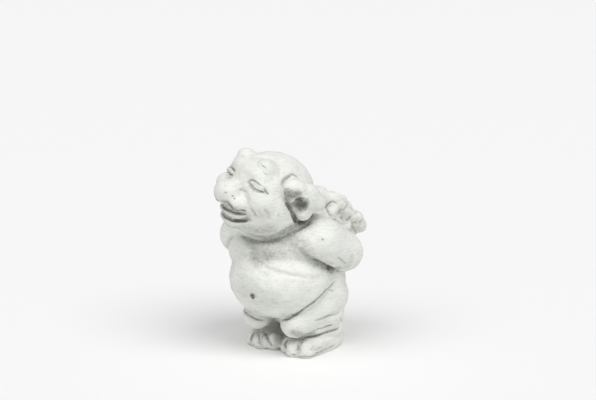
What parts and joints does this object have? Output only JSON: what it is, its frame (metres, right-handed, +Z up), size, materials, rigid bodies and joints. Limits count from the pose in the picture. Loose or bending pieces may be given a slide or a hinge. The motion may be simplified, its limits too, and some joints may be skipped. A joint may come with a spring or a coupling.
{
  "type": "troll garden statue",
  "caption": "Pot-bellied squatting troll cast in one piece of white stone, its big grinning head tilted and its arms behind its back, for standing in a garden.",
  "frame": {"origin": "centre of the figure's bounding box in X and Y, on the ground plane under its soles", "axes": "+Z up, the troll's body faces -Y, its left hand is at +X"},
  "size_m": [0.1968, 0.2468, 0.3],
  "materials": {
    "cast_stone": "matt off-white cast stone, with grey dirt in its folds and small pits"
  },
  "bodies": {
    "root": {"troll_statue": "cast_stone"}
  },
  "joints": []
}
